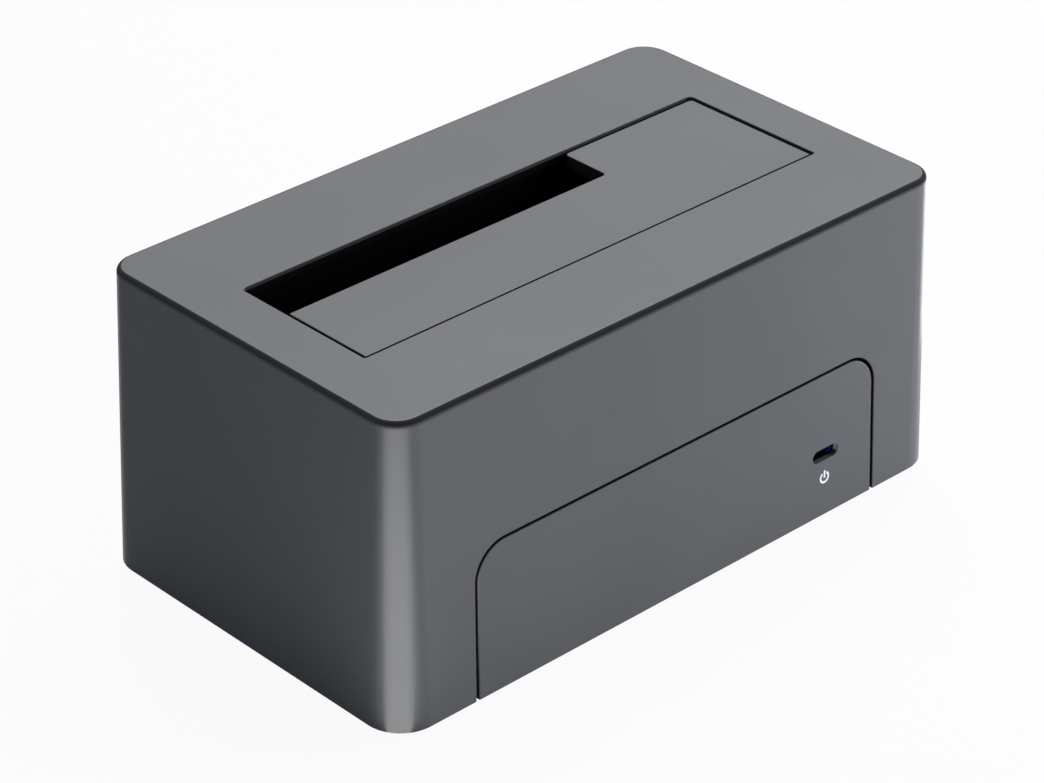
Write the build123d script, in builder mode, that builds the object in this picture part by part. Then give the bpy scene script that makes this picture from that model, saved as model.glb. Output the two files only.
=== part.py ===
from build123d import *
from math import cos, hypot, pi, radians, sin, sqrt, tan
import os

# Docking station for one hard drive. Millimetres and degrees.
# X runs along the case, the front wall faces -Y, Z is up.
# The origin lies on the table, under the middle of the case.

# Drives that the bay takes
large_drive_width = 101.6
large_drive_thickness = 26.1
small_drive_width = 69.85
small_drive_thickness = 9.5
socket_from_drive_side = 30.12
socket_from_drive_back = 3.5

# Play round the drives
drive_left_play = 1.3
large_drive_right_play = 1.3
small_drive_right_play = 1.0
drive_back_play = 0.4
small_drive_front_play = 1.3

# Case
case_height = 57.3
left_border = 11.3
right_border = 10.5
front_border = 19.6
back_border = 22.1
top_corner_radius = 5.3
wall_draft = 1.87
wall = 2.0
rim_radius = 0.95
cover_thickness = 2.0
cover_edge = 1.05
opening_corner = 1.0
opening_tip = 0.4
edge_softening = 0.2
foot_lift = 1.0

# Skirt and snaps that hold the cover in the housing
skirt_fit = 0.15
skirt_thickness = 1.2
skirt_depth = 3.0
snap_length = 8.0
snap_reach = 0.7
snap_height = 1.2
snap_play = 0.15
snap_spacing = 70.0

# Flap
flap_thickness = 1.8
flap_drop = 0.2
flap_side_gap = 0.65
flap_back_gap = 0.95
flap_front_gap = 0.55
flap_drive_gap = 0.3
flap_corner = 0.8
flap_tip = 0.25
flap_rib_height = 1.0
flap_rib_width = 1.2
flap_rib_inset = 0.5
hinge_zone = 3.0
flap_cross_rib_spacing = 24.0
flap_cross_rib_count = 3

# Flap hinge
pin_radius = 0.6
pin_play = 0.04
pin_seat_play = 0.02
knuckle_radius = 1.3
knuckle_gap = 0.2
knuckle_length = 5.0
hinge_lead = 0.1
hinge_arm_depth = 2.4
ear_thickness = 3.0
ear_margin = 0.7
ear_room = 0.4
pin_end_setback = 0.2
pin_end_chamfer = 0.1

# Tabs under the back edge that stop the flap level
stop_reach = 1.5
stop_width = 8.0
stop_thickness = 1.2
stop_gap = 0.1
stop_foot = 4.0
stop_inset = 2.5
stop_window_play = 0.6

# Torsion springs
spring_wire = 0.5
spring_radius = 1.0
spring_pitch = 1.0
spring_turns = 4
leg_turn = 1 / 4
spring_leg = 7.0
spring_end_room = 0.3
spring_wall_gap = 0.3

# Drive bay
bay_setback = 0.4
bay_wall = 1.6
bay_floor = 1.6
bay_corner = 1.2
bay_rim_gap = 0.1
guide_rib_width = 1.4
guide_rib_top = 4.0
back_rib_offsets = (8.0, 38.0, 62.0)
side_rib_offsets = (3.0, 8.0)
bay_ear_size = 7.0
bay_ear_thickness = 2.0
bay_ear_inset = 14.0
cover_post_drop = 2.0
cover_post_radius = 2.6
floor_post_radius = 2.5
floor_post_inset = 6.0

# Base plate and feet
base_thickness = 2.4
base_fit = 0.15
foot_radius = 5.0
foot_sink = 1.0
foot_play = 0.15
foot_inset = 17.0
corner_post_inset = 8.3
corner_post_radius = 3.2
corner_post_length = 18.0
post_web = 1.6
vent_width = 2.0
vent_length = 15.0
vent_pitch = 5.0
vent_count = 9
vent_row_spacing = 24.0
board_post_radius = 2.0
board_post_inset = 12.0

# Screws
base_screw_radius = 1.2
base_screw_head = 2.5
base_screw_head_height = 1.3
base_screw_length = 12.0
small_screw_radius = 0.8
small_screw_head = 1.8
small_screw_head_height = 1.2
bay_screw_length = 7.0
board_screw_length = 4.8
thread_play = 0.05
clearance_play = 0.25
head_play = 0.3
head_sink = 0.1
cross_width = 0.6
cross_share = 0.55
cross_depth = 0.6

# Circuit board
board_thickness = 1.6
board_lift = 3.4
board_to_bay = 2.4
board_end_gap = 1.0
board_front_gap = 5.0
board_rear_gap = 2.6
board_corner = 1.0

# Drive socket
socket_length = 40.2
socket_width = 6.0
socket_height = 9.6
socket_floor_play = 0.5
power_slot_length = 20.8
data_slot_length = 10.6
slot_land = 2.0
slot_width = 1.7
slot_depth = 6.5
slot_key = 1.2
slot_key_reach = 1.5
contact_pitch = 1.27
contact_width = 0.6
contact_thickness = 0.35
contact_play = 0.1
contact_top_drop = 1.4
power_contact_count = 15
data_contact_count = 7

# Arched panel in the front wall
panel_left_border = 16.525
panel_right_border = 16.125
panel_height = 28.1
panel_flare = 1.0
panel_corner = 6.0
panel_gap = 0.6
panel_flange = 1.6
panel_flange_thickness = 1.2
panel_edge = 0.2

# Window, lens and lamp
window_inset = 11.475
window_height = 12.3
window_length = 6.4
window_width = 2.5
lens_recess = 1.0
lens_play = 0.1
lens_flange = 1.3
lens_flange_thickness = 0.8
lens_pipe = 1.2
lamp_radius = 1.5
lamp_length = 4.0
lamp_dome = 1.2
lamp_rim = 0.4
lamp_rim_length = 1.0
lamp_gap = 0.3
lead_width = 0.5
lead_spacing = 2.54
lead_reach = 3.4
lead_play = 0.1
spacer_width = 4.6
spacer_depth = 2.6

# Data socket at the rear
usb_inset = 40.4
usb_width = 12.0
usb_height = 12.4
usb_depth = 17.6
usb_shell_thickness = 0.5
usb_recess = 0.4
usb_cutout_play = 0.3
usb_fit = 0.05
usb_mouth_width = 8.6
usb_mouth_height = 7.8
usb_mouth_chamfer = 1.6
usb_step_width = 5.6
usb_step_height = 2.4
usb_mouth_depth = 12.0
usb_tongue_width = 5.6
usb_tongue_height = 3.0
usb_tongue_setback = 1.0
usb_contact_width = 0.7
usb_contact_thickness = 0.2
usb_contact_pitch = 1.25
usb_step_contacts = 5
usb_tongue_contacts = 2
usb_tab_width = 2.0
usb_tab_setback = 6.0
usb_tab_drop = 2.6

# Power inlet at the rear
jack_inset = 16.4
jack_width = 9.0
jack_height = 11.0
jack_depth = 11.2
jack_axis = 6.3
jack_nose_radius = 4.0
jack_nose_length = 3.2
jack_recess = 0.3
jack_cutout_play = 0.3
jack_bore_radius = 3.1
jack_bore_depth = 10.5
jack_pin_radius = 1.0
jack_pin_setback = 1.0
jack_pin_play = 0.02
jack_pin_root = 2.0
jack_edge = 0.4

# Power switch at the rear
button_inset = 36.4
button_radius = 3.6
button_play = 0.2
button_travel = 2.2
button_proud = 0.1
button_length = 7.6
button_flange = 0.8
button_flange_thickness = 1.0
button_neck_radius = 2.5
button_dish_radius = 7.0
button_dish_depth = 1.5
button_pad_margin = 1.6
button_pad_thickness = 1.6
switch_axis = 5.2
switch_width = 8.0
switch_height = 9.0
switch_depth = 9.5
switch_wall = 1.2
switch_clear = 0.4
switch_play = 0.1
plunger_size = 2.6
plunger_grip = 1.6
plunger_play = 0.02
collar_size = 4.8
collar_thickness = 1.5
switch_spring_radius = 1.8
switch_spring_wire = 0.4
switch_spring_turns = 5
half_turn = 1 / 2
button_edge = 0.4

# Parts on the board
chip_size = 9.0
chip_height = 1.2
chip_inset = 20.4
crystal_length = 11.0
crystal_width = 4.6
crystal_height = 3.5
crystal_inset = 9.4
rear_parts_inset = 8.5
front_parts_inset = 6.0
capacitor_radius = 3.15
capacitor_height = 7.7
capacitor_base = 1.0
capacitor_xs = (4.0, 13.0, 22.0)
inductor_size = 7.0
inductor_height = 3.6
inductor_xs = (-8.0, -19.0)
regulator_length = 6.5
regulator_width = 5.0
regulator_height = 1.7
regulator_insets = (10.4, 21.4)
lead_pitch = 1.5
chip_edge = 0.15

# How far a cutting shape runs past the face it starts from
overshoot = 1.0

# Levels, from the table up
case_bottom = foot_lift
case_top = case_bottom + case_height
seam_z = case_top - cover_edge
cover_under = case_top - cover_thickness
flap_top = case_top - flap_drop
flap_under = flap_top - flap_thickness
hinge_z = cover_under - knuckle_gap - knuckle_radius
base_top = case_bottom + base_thickness
board_bottom = base_top + board_lift
board_top = board_bottom + board_thickness
floor_under = board_top + board_to_bay
floor_top = floor_under + bay_floor
socket_top = board_top + socket_height

# The opening is as wide as a large drive with the folded flap in front of it
hinge_drop = flap_top - hinge_z
bay_length = drive_left_play + large_drive_width + large_drive_right_play
drive_room = drive_back_play + large_drive_thickness + flap_drive_gap
bay_width = drive_room + hinge_drop - hinge_lead + flap_front_gap

# Case outlines, from the opening and its borders
top_length = left_border + bay_length + right_border
top_width = front_border + bay_width + back_border
slope = tan(radians(wall_draft))
flare = case_height * slope
base_length = top_length + 2 * flare
base_width = top_width + 2 * flare
base_corner = top_corner_radius + flare

# Panel in the front wall, and the window near its right end
panel_width = top_length - panel_left_border - panel_right_border
panel_shift = (panel_left_border - panel_right_border) / 2
window_x = panel_shift + panel_width / 2 - window_inset

# Edges of the opening and of the slot for a small drive
bay_left = left_border - top_length / 2
bay_right = bay_left + bay_length
bay_front = front_border - top_width / 2
bay_back = bay_front + bay_width
slot_right = bay_left + drive_left_play + small_drive_width + small_drive_right_play
slot_front = bay_back - drive_back_play - small_drive_thickness - small_drive_front_play

# Flap outline and hinge axis
flap_left = bay_left + flap_side_gap
flap_right = bay_right - flap_side_gap
flap_front = bay_front + flap_front_gap
flap_back = bay_back - flap_back_gap
hinge_y = flap_front - hinge_lead

# Inside of the drive bay, and where the drives meet their socket
well_left = bay_left - bay_setback
well_right = bay_right + bay_setback
well_back = bay_back + bay_setback
well_front = hinge_y - knuckle_radius - spring_wall_gap
well_top = cover_under - bay_rim_gap
socket_x = bay_left + drive_left_play + socket_from_drive_side
socket_y = bay_back - drive_back_play - socket_from_drive_back

# Stop tabs under the flap, and how far down the bay's back wall they swing
stop_end = bay_back + stop_reach
stop_top = cover_under - stop_gap
stop_xs = (slot_right + stop_inset + stop_width / 2, flap_right - stop_inset - stop_width / 2)
stop_swing = hypot(stop_end - hinge_y, stop_top - hinge_z)
stop_window_bottom = hinge_z - sqrt(stop_swing ** 2 - (well_back - hinge_y) ** 2) - stop_window_play

# Screw posts, and the board between them
corner_post_x = base_length / 2 - corner_post_inset
board_length = 2 * (corner_post_x - corner_post_radius - board_end_gap)
corner_post_y = base_width / 2 - corner_post_inset
cover_post_xs = (well_left + bay_ear_inset, well_right - bay_ear_inset)
cover_post_ys = (well_front - bay_wall - bay_ear_size / 2, well_back + bay_wall + bay_ear_size / 2)
cover_post_points = [(x, y) for x in cover_post_xs for y in cover_post_ys]
cover_post_end = stop_window_bottom - cover_post_drop
cover_post_length = cover_under - cover_post_end
bay_screw_pilot_depth = bay_screw_length - bay_ear_thickness + clearance_play
floor_post_xs = (well_left + floor_post_inset, well_right - floor_post_inset)
floor_post_ys = (well_front + floor_post_inset, well_back - floor_post_inset)
floor_post_points = [(x, y) for x in floor_post_xs for y in floor_post_ys]
base_screw_pilot = base_screw_radius + thread_play
small_screw_pilot = small_screw_radius + thread_play

# Parts near an end of the board keep their distance from it, the ones between keep their place
usb_x = board_length / 2 - usb_inset
jack_x = board_length / 2 - jack_inset
button_x = button_inset - board_length / 2
chip_x = chip_inset - board_length / 2
crystal_x = crystal_inset - board_length / 2
regulator_xs = [inset - board_length / 2 for inset in regulator_insets]


# How far the front or rear wall stands from the middle at a height
def wall_reach(z):
    return base_width / 2 - (z - case_bottom) * slope


# The form of the case, drawn in all round by an inset
def drafted_block(inset, top):
    with BuildPart() as block:
        with BuildSketch(Plane.XY.offset(case_bottom)):
            RectangleRounded(base_length - 2 * inset, base_width - 2 * inset, base_corner - inset)
        extrude(amount=top - case_bottom, taper=wall_draft)
    return block.part


# The arch of the front panel, grown or drawn in all round, run back through the front wall
def arch_block(grow, depth):
    height = overshoot + panel_height
    foot = panel_width + 2 * height * tan(radians(panel_flare))
    with BuildPart() as block:
        with BuildSketch(Plane.XZ.offset(base_width / 2 + overshoot)) as outline:
            with Locations((panel_shift, case_bottom - overshoot)):
                Trapezoid(foot, height, 90 - panel_flare, align=(Align.CENTER, Align.MIN))
            fillet(outline.vertices().group_by(Axis.Y)[-1], radius=panel_corner)
            if grow != 0:
                offset(amount=grow)
        extrude(amount=-(overshoot + depth))
    return block.part


os.makedirs("parts", exist_ok=True)

# Top cover: a rolled rim, the bay's opening, a skirt with snaps and the posts that carry the bay
skirt_inset = wall + skirt_fit
skirt_bottom = seam_z - skirt_depth
pin_ear_radius = pin_radius + ear_margin + pin_seat_play
skirt_reach = wall_reach(skirt_bottom) - skirt_inset
snap_root = snap_reach + skirt_thickness / 2
with BuildPart() as top_cover:
    add(drafted_block(0, case_top))
    fillet(top_cover.faces().sort_by(Axis.Z)[-1].edges(), radius=rim_radius)
    split(bisect_by=Plane.XY.offset(seam_z), keep=Keep.TOP)
    skirt_plane = Plane.XY.offset(skirt_bottom)
    add(split(drafted_block(skirt_inset, seam_z), bisect_by=skirt_plane, mode=Mode.PRIVATE))
    add(drafted_block(skirt_inset + skirt_thickness, cover_under), mode=Mode.SUBTRACT)
    with BuildSketch(Plane.XY.offset(case_top)) as opening:
        with Locations(((bay_left + bay_right) / 2, (bay_front + bay_back) / 2)):
            Rectangle(bay_length, bay_width)
        fillet(opening.vertices().group_by(Axis.Y)[-1], radius=opening_corner)
        fillet(opening.vertices().group_by(Axis.Y)[0], radius=opening_tip)
    extrude(amount=-cover_thickness, mode=Mode.SUBTRACT)
    fillet(top_cover.faces().sort_by(Axis.Z)[-1].inner_wires().edges(), radius=edge_softening)
    with BuildSketch(Plane.XY.offset(cover_under)):
        with Locations(*cover_post_points):
            Circle(cover_post_radius)
    extrude(amount=-cover_post_length)
    with BuildSketch(Plane.XY.offset(cover_post_end)):
        with Locations(*cover_post_points):
            Circle(small_screw_pilot)
    extrude(amount=bay_screw_pilot_depth, mode=Mode.SUBTRACT)
    for ear_start in (bay_left - ear_thickness, bay_right):
        with BuildSketch(Plane.YZ.offset(ear_start)):
            with Locations((hinge_y, hinge_z)):
                Circle(pin_ear_radius)
                Rectangle(2 * pin_ear_radius, cover_under - hinge_z, align=(Align.CENTER, Align.MIN))
        extrude(amount=ear_thickness)
    with BuildSketch(Plane.YZ.offset(bay_left - ear_thickness)):
        with Locations((hinge_y, hinge_z)):
            Circle(pin_radius + pin_seat_play)
    extrude(amount=bay_length + 2 * ear_thickness, mode=Mode.SUBTRACT)
    for side in (-1, 1):
        with BuildSketch(Plane.XY.offset(skirt_bottom)):
            with Locations((0, side * (skirt_reach + snap_reach - snap_root / 2))):
                with GridLocations(snap_spacing, 0, 2, 1):
                    Rectangle(snap_length, snap_root)
        extrude(amount=snap_height)
top_cover.part.label = "top_cover"
export_step(top_cover.part, "parts/top_cover.step")

# Housing: four drafted walls, corner screw posts, the arch in front and the ports at the rear
usb_z = board_top + usb_height / 2
jack_z = board_top + jack_axis
button_z = board_top + switch_axis
dish_floor = wall_reach(button_z) - button_dish_depth
pad_face = wall_reach(button_z + button_dish_radius) - wall - button_pad_thickness
rear_cut = wall + flare + overshoot
post_span = corner_post_inset - wall / 2
with BuildPart() as housing:
    add(drafted_block(0, seam_z))
    add(drafted_block(wall, seam_z), mode=Mode.SUBTRACT)
    with BuildSketch(Plane.XY.offset(base_top)):
        with GridLocations(2 * corner_post_x, 2 * corner_post_y, 2, 2):
            Circle(corner_post_radius)
        with GridLocations(2 * corner_post_x + post_span, 2 * corner_post_y, 2, 2):
            Rectangle(post_span, post_web)
        with GridLocations(2 * corner_post_x, 2 * corner_post_y + post_span, 2, 2):
            Rectangle(post_web, post_span)
    extrude(amount=corner_post_length)
    with BuildSketch(Plane.XY.offset(base_top)):
        with GridLocations(2 * corner_post_x, 2 * corner_post_y, 2, 2):
            Circle(base_screw_pilot)
    extrude(amount=base_screw_length, mode=Mode.SUBTRACT)
    add(arch_block(panel_gap, wall + flare), mode=Mode.SUBTRACT)
    for side in (-1, 1):
        with BuildSketch(Plane.XY.offset(skirt_bottom - snap_play)):
            with Locations((0, side * (skirt_reach + snap_reach + snap_play - snap_root / 2))):
                with GridLocations(snap_spacing, 0, 2, 1):
                    Rectangle(snap_length + 2 * snap_play, snap_root)
        extrude(amount=snap_height + 2 * snap_play, mode=Mode.SUBTRACT)
    with BuildSketch(Plane.XZ.offset(-pad_face)):
        with Locations((button_x, button_z)):
            Circle(button_dish_radius + button_pad_margin)
    extrude(amount=-(wall_reach(button_z) - wall / 2 - pad_face))
    with BuildSketch(Plane.XZ.offset(-dish_floor)):
        with Locations((button_x, button_z)):
            Circle(button_dish_radius)
    extrude(amount=-rear_cut, mode=Mode.SUBTRACT)
    with BuildSketch(Plane.XZ.offset(-(pad_face - overshoot))):
        with Locations((button_x, button_z)):
            Circle(button_radius + button_play)
        with Locations((jack_x, jack_z)):
            Circle(jack_nose_radius + jack_cutout_play)
        with Locations((usb_x, usb_z)):
            Rectangle(usb_width + 2 * usb_cutout_play, usb_height + 2 * usb_cutout_play)
    extrude(amount=-(rear_cut + button_pad_thickness + overshoot), mode=Mode.SUBTRACT)
    front_edges = housing.faces().sort_by(Axis.Y)[0].edges()
    arch_top = case_bottom + panel_height
    arch_edges = front_edges.filter_by_position(Axis.Z, case_bottom + overshoot, arch_top + overshoot)
    arch_edges = arch_edges.filter_by_position(Axis.X, -corner_post_x, corner_post_x)
    fillet(arch_edges, radius=panel_edge)
housing.part.label = "housing"
export_step(housing.part, "parts/housing.step")

# Front panel: the arch itself, with a flange behind the wall and the window
window_z = case_bottom + window_height
flange_bottom = base_top + base_fit
with BuildPart() as panel_flange_form:
    add(arch_block(panel_gap + panel_flange, wall + flare + panel_flange_thickness))
    add(drafted_block(wall, seam_z), mode=Mode.INTERSECT)
    add(drafted_block(wall + panel_flange_thickness, seam_z), mode=Mode.SUBTRACT)
    add(arch_block(-panel_flange, wall + flare + panel_flange_thickness), mode=Mode.SUBTRACT)
    split(bisect_by=Plane.XY.offset(flange_bottom), keep=Keep.TOP)
with BuildPart() as front_panel:
    add(arch_block(0, wall + flare))
    add(drafted_block(0, seam_z), mode=Mode.INTERSECT)
    add(drafted_block(wall, seam_z), mode=Mode.SUBTRACT)
    panel_edges = front_panel.faces().sort_by(Axis.Y)[0].edges()
    fillet(panel_edges.filter_by_position(Axis.Z, case_bottom + overshoot, case_top), radius=panel_edge)
    add(panel_flange_form.part)
    with BuildSketch(Plane.XZ.offset(base_width / 2 + overshoot)):
        with Locations((window_x, window_z)):
            SlotOverall(window_length, window_width)
    extrude(amount=-(overshoot + wall + flare), mode=Mode.SUBTRACT)
front_panel.part.label = "front_panel"
export_step(front_panel.part, "parts/front_panel.step")

# Window lens: recessed in its hole, flanged behind the panel, with a short light pipe
lens_face = lens_recess - wall_reach(window_z)
lens_flange_top = window_z + window_width / 2 + lens_flange
lens_shoulder = wall + lens_play - wall_reach(lens_flange_top)
lens_back = lens_shoulder + lens_flange_thickness
with BuildPart() as led_window:
    with BuildSketch(Plane.XZ.offset(-lens_face)):
        with Locations((window_x, window_z)):
            SlotOverall(window_length - 2 * lens_play, window_width - 2 * lens_play)
    extrude(amount=lens_face - lens_back - lens_pipe)
    with BuildSketch(Plane.XZ.offset(-lens_shoulder)):
        with Locations((window_x, window_z)):
            SlotOverall(window_length + 2 * lens_flange, window_width + 2 * lens_flange)
    extrude(amount=-lens_flange_thickness)
led_window.part.label = "led_window"
export_step(led_window.part, "parts/led_window.step")

# Base plate: screw wells, seats for the feet, vent slots and posts that back the board
foot_x = base_length / 2 - foot_inset
foot_y = corner_post_y
board_front = board_front_gap + wall - wall_reach(board_bottom)
board_back = wall_reach(board_bottom) - wall - board_rear_gap
board_middle = (board_front + board_back) / 2
plate_inset = wall + base_fit
head_seat = case_bottom + base_screw_head_height + head_sink
with BuildPart() as base_plate:
    add(drafted_block(plate_inset, base_top))
    with BuildSketch(Plane.XY.offset(base_top)):
        with Locations((0, board_middle)):
            board_post_y = board_back - board_front - 2 * board_post_inset
            with GridLocations(board_length - 2 * board_post_inset, board_post_y, 2, 2):
                Circle(board_post_radius)
    extrude(amount=board_lift)
    with BuildSketch(Plane.XY.offset(case_bottom)):
        with GridLocations(2 * foot_x, 2 * foot_y, 2, 2):
            Circle(foot_radius + foot_play)
    extrude(amount=foot_sink, mode=Mode.SUBTRACT)
    with BuildSketch(Plane.XY.offset(case_bottom)):
        with GridLocations(2 * corner_post_x, 2 * corner_post_y, 2, 2):
            Circle(base_screw_head + head_play)
    extrude(amount=head_seat - case_bottom, mode=Mode.SUBTRACT)
    with BuildSketch(Plane.XY.offset(case_bottom)):
        with GridLocations(2 * corner_post_x, 2 * corner_post_y, 2, 2):
            Circle(base_screw_radius + clearance_play)
        with GridLocations(vent_pitch, vent_row_spacing, vent_count, 2):
            Rectangle(vent_width, vent_length)
    extrude(amount=base_thickness, mode=Mode.SUBTRACT)
base_plate.part.label = "base_plate"
export_step(base_plate.part, "parts/base_plate.step")

# Rubber feet: four discs with a bevelled lower edge
with BuildPart() as rubber_feet:
    with BuildSketch(Plane.XY):
        with GridLocations(2 * foot_x, 2 * foot_y, 2, 2):
            Circle(foot_radius)
    extrude(amount=foot_lift + foot_sink)
    chamfer(rubber_feet.faces().filter_by(Axis.Z).group_by(Axis.Z)[0].edges(), length=foot_lift / 3)
rubber_feet.part.label = "rubber_feet"
export_step(rubber_feet.part, "parts/rubber_feet.step")


# Pan-head screws that point up: a head under the seat, a shank above it, a cross cut in the head
def screws_up(points, seat, radius, head, head_height, length):
    with BuildPart() as screws:
        with BuildSketch(Plane.XY.offset(seat - head_height)):
            with Locations(*points):
                Circle(head)
        extrude(amount=head_height)
        chamfer(screws.faces().filter_by(Axis.Z).group_by(Axis.Z)[0].edges(), length=head_height / 3)
        with BuildSketch(Plane.XY.offset(seat)):
            with Locations(*points):
                Circle(radius)
        extrude(amount=length)
        with BuildSketch(Plane.XY.offset(seat - head_height)):
            with Locations(*points):
                Rectangle(2 * head * cross_share, cross_width)
                Rectangle(cross_width, 2 * head * cross_share)
        extrude(amount=cross_depth, mode=Mode.SUBTRACT)
    return screws.part


corner_points = [(x, y) for x in (-corner_post_x, corner_post_x) for y in (-corner_post_y, corner_post_y)]
base_screws = screws_up(
    corner_points, head_seat, base_screw_radius, base_screw_head, base_screw_head_height, base_screw_length
)
base_screws.label = "base_screws"
export_step(base_screws, "parts/base_screws.step")

bay_screws = screws_up(
    cover_post_points,
    cover_post_end - bay_ear_thickness,
    small_screw_radius,
    small_screw_head,
    small_screw_head_height,
    bay_screw_length,
)
bay_screws.label = "bay_screws"
export_step(bay_screws, "parts/bay_screws.step")

board_screws = screws_up(
    floor_post_points,
    board_bottom,
    small_screw_radius,
    small_screw_head,
    small_screw_head_height,
    board_screw_length,
)
board_screws.label = "board_screws"
export_step(board_screws, "parts/board_screws.step")

# Flap: an L that leaves the slot free, ribs underneath, hinge knuckles and two stop tabs
coil_run = spring_pitch * (spring_turns + leg_turn)
second_knuckle = knuckle_length + coil_run + spring_wire + 2 * spring_end_room
knuckle_starts = (
    flap_left,
    flap_left + second_knuckle,
    flap_right - second_knuckle - knuckle_length,
    flap_right - knuckle_length,
)
rib_start = flap_front + hinge_zone
cross_rib_y = hinge_y + spring_leg + flap_rib_width
flap_corners = (
    (flap_left, flap_front),
    (flap_right, flap_front),
    (flap_right, flap_back),
    (slot_right, flap_back),
    (slot_right, slot_front),
    (flap_left, slot_front),
)
with BuildPart() as flap:
    with BuildSketch(Plane.XY.offset(flap_under)) as flap_outline:
        Polygon(*flap_corners, align=None)
        fillet(flap_outline.vertices().sort_by_distance((slot_right, slot_front))[0], radius=flap_corner)
        fillet(flap_outline.vertices().sort_by_distance((flap_left, slot_front))[0], radius=flap_tip)
        fillet(flap_outline.vertices().group_by(Axis.Y)[-1], radius=flap_corner)
        fillet(flap_outline.vertices().group_by(Axis.Y)[0], radius=flap_tip)
    extrude(amount=flap_thickness)
    fillet(flap.faces().sort_by(Axis.Z)[-1].edges(), radius=edge_softening)
    with BuildSketch(Plane.XY.offset(flap_under)):
        add(offset(flap_outline.sketch_local, amount=-flap_rib_inset, mode=Mode.PRIVATE))
        inner_line = flap_rib_inset + flap_rib_width
        add(offset(flap_outline.sketch_local, amount=-inner_line, mode=Mode.PRIVATE), mode=Mode.SUBTRACT)
        with Locations(((flap_left + flap_right) / 2, (cross_rib_y + slot_front) / 2)):
            with GridLocations(flap_cross_rib_spacing, 0, flap_cross_rib_count, 1):
                Rectangle(flap_rib_width, slot_front - cross_rib_y - flap_rib_inset)
        with Locations(((flap_left + flap_right) / 2, rib_start - hinge_zone)):
            Rectangle(flap_right - flap_left, 2 * hinge_zone, mode=Mode.SUBTRACT)
        with Locations(((flap_left + flap_right) / 2, cross_rib_y)):
            Rectangle(flap_right - flap_left - 2 * flap_rib_inset, flap_rib_width)
    extrude(amount=-flap_rib_height)
    for start in knuckle_starts:
        with BuildSketch(Plane.YZ.offset(start)):
            with Locations((hinge_y, hinge_z)):
                Circle(knuckle_radius)
            with Locations((flap_front, hinge_z)):
                Rectangle(hinge_arm_depth, flap_under - hinge_z, align=(Align.MIN, Align.MIN))
        extrude(amount=knuckle_length)
    with BuildSketch(Plane.YZ.offset(flap_left)):
        with Locations((hinge_y, hinge_z)):
            Circle(pin_radius + pin_play)
    extrude(amount=flap_right - flap_left, mode=Mode.SUBTRACT)
    with BuildSketch(Plane.XY.offset(stop_top - stop_thickness)):
        with Locations(*[(x, flap_back - stop_foot) for x in stop_xs]):
            Rectangle(stop_width, stop_end - flap_back + stop_foot, align=(Align.CENTER, Align.MIN))
    extrude(amount=stop_thickness)
    with BuildSketch(Plane.XY.offset(stop_top)):
        with Locations(*[(x, flap_back - stop_foot) for x in stop_xs]):
            Rectangle(stop_width, stop_foot - flap_rib_inset, align=(Align.CENTER, Align.MIN))
    extrude(amount=flap_under - stop_top)
flap.part.label = "flap"
export_step(flap.part, "parts/flap.step")

# Hinge pin: a steel rod held in the cover's ears
with BuildPart() as hinge_pin:
    with BuildSketch(Plane.YZ.offset(bay_left - ear_thickness + pin_end_setback)):
        with Locations((hinge_y, hinge_z)):
            Circle(pin_radius)
    extrude(amount=bay_length + 2 * ear_thickness - 2 * pin_end_setback)
    chamfer(hinge_pin.faces().filter_by(Axis.X).edges(), length=pin_end_chamfer)
hinge_pin.part.label = "hinge_pin"
export_step(hinge_pin.part, "parts/hinge_pin.step")


# Two arcs that meet smoothly between two points, with the direction given at each of them
def smooth_arcs(start, start_way, end, end_way):
    gap = end - start
    reach = gap.dot(start_way + end_way)
    turn = 2 - 2 * start_way.dot(end_way)
    span = (sqrt(reach ** 2 + turn * gap.dot(gap)) - reach) / turn
    middle = (start + end + (start_way - end_way) * span) * 0.5
    TangentArc(start, middle, tangent=start_way)
    TangentArc(end, middle, tangent=end_way * -1)


# A coil round the normal of a plane, in steps of a part of a turn; both its ends lie flat
def coil_arcs(base, radius, pitch, turns, step_turn):
    steps = round(turns / step_turn)
    slant = pitch / (2 * pi)
    spots = []
    for step in range(steps + 1):
        angle = 2 * pi * turns * step / steps
        out = base.x_dir * cos(angle) + base.y_dir * sin(angle)
        along = base.y_dir * cos(angle) - base.x_dir * sin(angle)
        way = along * radius + base.z_dir * (slant if 0 < step < steps else 0)
        spots.append((base.origin + out * radius + base.z_dir * (slant * angle), way.normalized()))
    for (start, start_way), (end, end_way) in zip(spots, spots[1:]):
        smooth_arcs(start, start_way, end, end_way)
    return spots


# The least gap between neighbouring turns of a wire, measured on points along it
def least_gap(line, wire, radius):
    count = round(line.length / (wire / 2))
    points = [line.position_at(step / count) for step in range(count + 1)]
    apart = round(pi * radius / (line.length / count))
    return min((b - a).length for i, a in enumerate(points) for b in points[i + apart:]) - wire


# Torsion springs round the pin: one leg under the flap, one down the front wall of the bay
coil_start = flap_left + knuckle_length + spring_end_room + spring_wire / 2
coil_base = Plane(origin=(coil_start, hinge_y, hinge_z), x_dir=(0, 0, 1), z_dir=(1, 0, 0))
with BuildPart() as left_flap_spring:
    with BuildLine() as spring_line:
        spots = coil_arcs(coil_base, spring_radius, spring_pitch, spring_turns + leg_turn, leg_turn)
        top_tip = spots[0][0] - spots[0][1] * spring_leg
        Line(top_tip, spots[0][0])
        Line(spots[-1][0], spots[-1][0] + spots[-1][1] * spring_leg)
    with BuildSketch(Plane(origin=top_tip, z_dir=spots[0][1])):
        Circle(spring_wire / 2)
    sweep(path=spring_line.line)
print("flap spring: least gap between turns", least_gap(spring_line.wire(), spring_wire, spring_radius))
left_flap_spring.part.label = "left_flap_spring"
export_step(left_flap_spring.part, "parts/left_flap_spring.step")

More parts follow.
